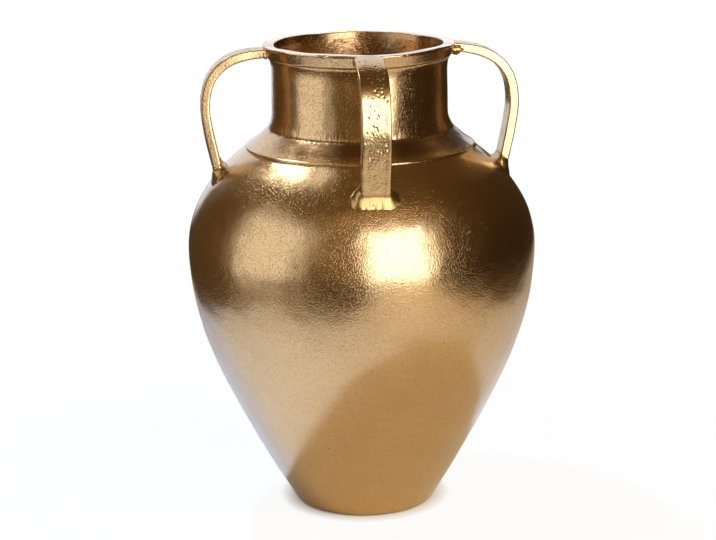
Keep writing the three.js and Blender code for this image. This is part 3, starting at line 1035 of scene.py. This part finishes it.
# Softboxes and cards: the turn and rise of each about the vase, its size, and how bright its front is.
# These are what the metal mirrors, so the paper table takes no light from them.
softboxes = {
    "keyBox": {"turn": -127, "rise": 54.2, "away": 1600, "size": (695, 250), "spin": 52, "level": 10.5},
    "keySpill": {"turn": -97.7, "rise": 68.8, "away": 1700, "size": (470, 270), "spin": 42, "level": 1.4},
    "frontBox": {"turn": 18.5, "rise": 16.5, "away": 1900, "size": (1300, 1850), "level": 3.7},
    "frontHalo": {"turn": 20, "rise": 16.5, "away": 2000, "size": (1700, 2500), "level": 0.8},
    "leftCard": {"turn": -71, "rise": 14, "away": 2000, "size": (1500, 1900), "level": 0.8},
    "leftHalo": {"turn": -67.5, "rise": 16, "away": 2100, "size": (2300, 2500), "level": 0.5},
    "backCard": {"turn": -176, "rise": 25, "away": 1700, "size": (1700, 1700), "spin": -20, "level": 1.0},
    "backLamp": {"turn": -157, "rise": 55, "away": 1500, "size": (150, 150), "level": 6.0},
    "litWall": {
        "turn": 10, "rise": 28, "away": 2900, "size": (5600, 4600), "level": 0.13, "colour": "F0C795",
    },
    "windowHalo": {
        "turn": 8, "rise": 55, "away": 2300, "size": (1600, 500), "level": 0.2, "colour": "F0CFA0",
    },
}
# These light the paper table and are not mirrored: a hard lamp behind on the left, and a warm one in front
tableLamps = {
    "hardLamp": {
        "turn": -161, "rise": 62, "away": 1500, "size": (60, 60), "level": 290,
        "spread": 66, "aim": (-150, -200, 0), "colour": "B4D2FF",
    },
    "warmLamp": {
        "turn": 38, "rise": 35, "away": 1400, "size": (500, 500), "level": 13.5, "colour": "FFE2A8",
    },
}
# What a lamp has where its own entry says nothing
plainLamp = {"aim": (0, 0, 200), "spin": 0, "spread": 180, "colour": "EEF4FF"}


def hangLamp(name, box, mirrored):
    box = plainLamp | box
    aim = Vector(box["aim"])
    turn, rise = math.radians(box["turn"]), math.radians(box["rise"])
    out = math.cos(rise)
    toLamp = Vector((out * math.sin(turn), -out * math.cos(turn), math.sin(rise)))
    light = bpy.data.lights.new(name, "AREA")
    light.shape = "RECTANGLE"
    light.size, light.size_y = (length * mm for length in box["size"])
    light.energy = box["level"] * math.pi * light.size * light.size_y  # so that the level is its brightness
    light.spread = math.radians(box["spread"])
    light.color = toLinear(box["colour"])[:3]
    lamp = bpy.data.objects.new(name, light)
    lamp.location = (aim + toLamp * box["away"]) * mm
    facing = toLamp.to_track_quat("Z", "Y").to_matrix().to_4x4()
    lamp.rotation_euler = (facing @ Matrix.Rotation(math.radians(box["spin"]), 4, "Z")).to_euler()
    lamp.visible_glossy = mirrored
    lamp.visible_diffuse = not mirrored
    lamp.visible_camera = False
    scene.collection.objects.link(lamp)


for name, box in softboxes.items():
    hangLamp(name, box, mirrored=True)
for name, box in tableLamps.items():
    hangLamp(name, box, mirrored=False)
print("studio lit")

# Camera: a little to the left of the front handle, looking slightly down
view = {
    "place": (-143.3, -1488.0, 577.9), "turn": -5.38, "tilt": 14.44, "roll": -0.79,
    "lens": 94.51, "sensor": 36,
}
cameraData = bpy.data.cameras.new("photoCamera")
cameraData.lens = view["lens"]
cameraData.sensor_width = view["sensor"]
cameraData.sensor_fit = "HORIZONTAL"
camera = bpy.data.objects.new("photoCamera", cameraData)
camera.matrix_world = (
    Matrix.Translation(Vector(view["place"]) * mm)
    @ Matrix.Rotation(math.radians(view["turn"]), 4, "Z")
    @ Matrix.Rotation(math.radians(90 - view["tilt"]), 4, "X")
    @ Matrix.Rotation(math.radians(view["roll"]), 4, "Z")
)
scene.collection.objects.link(camera)
scene.camera = camera
print("camera placed")
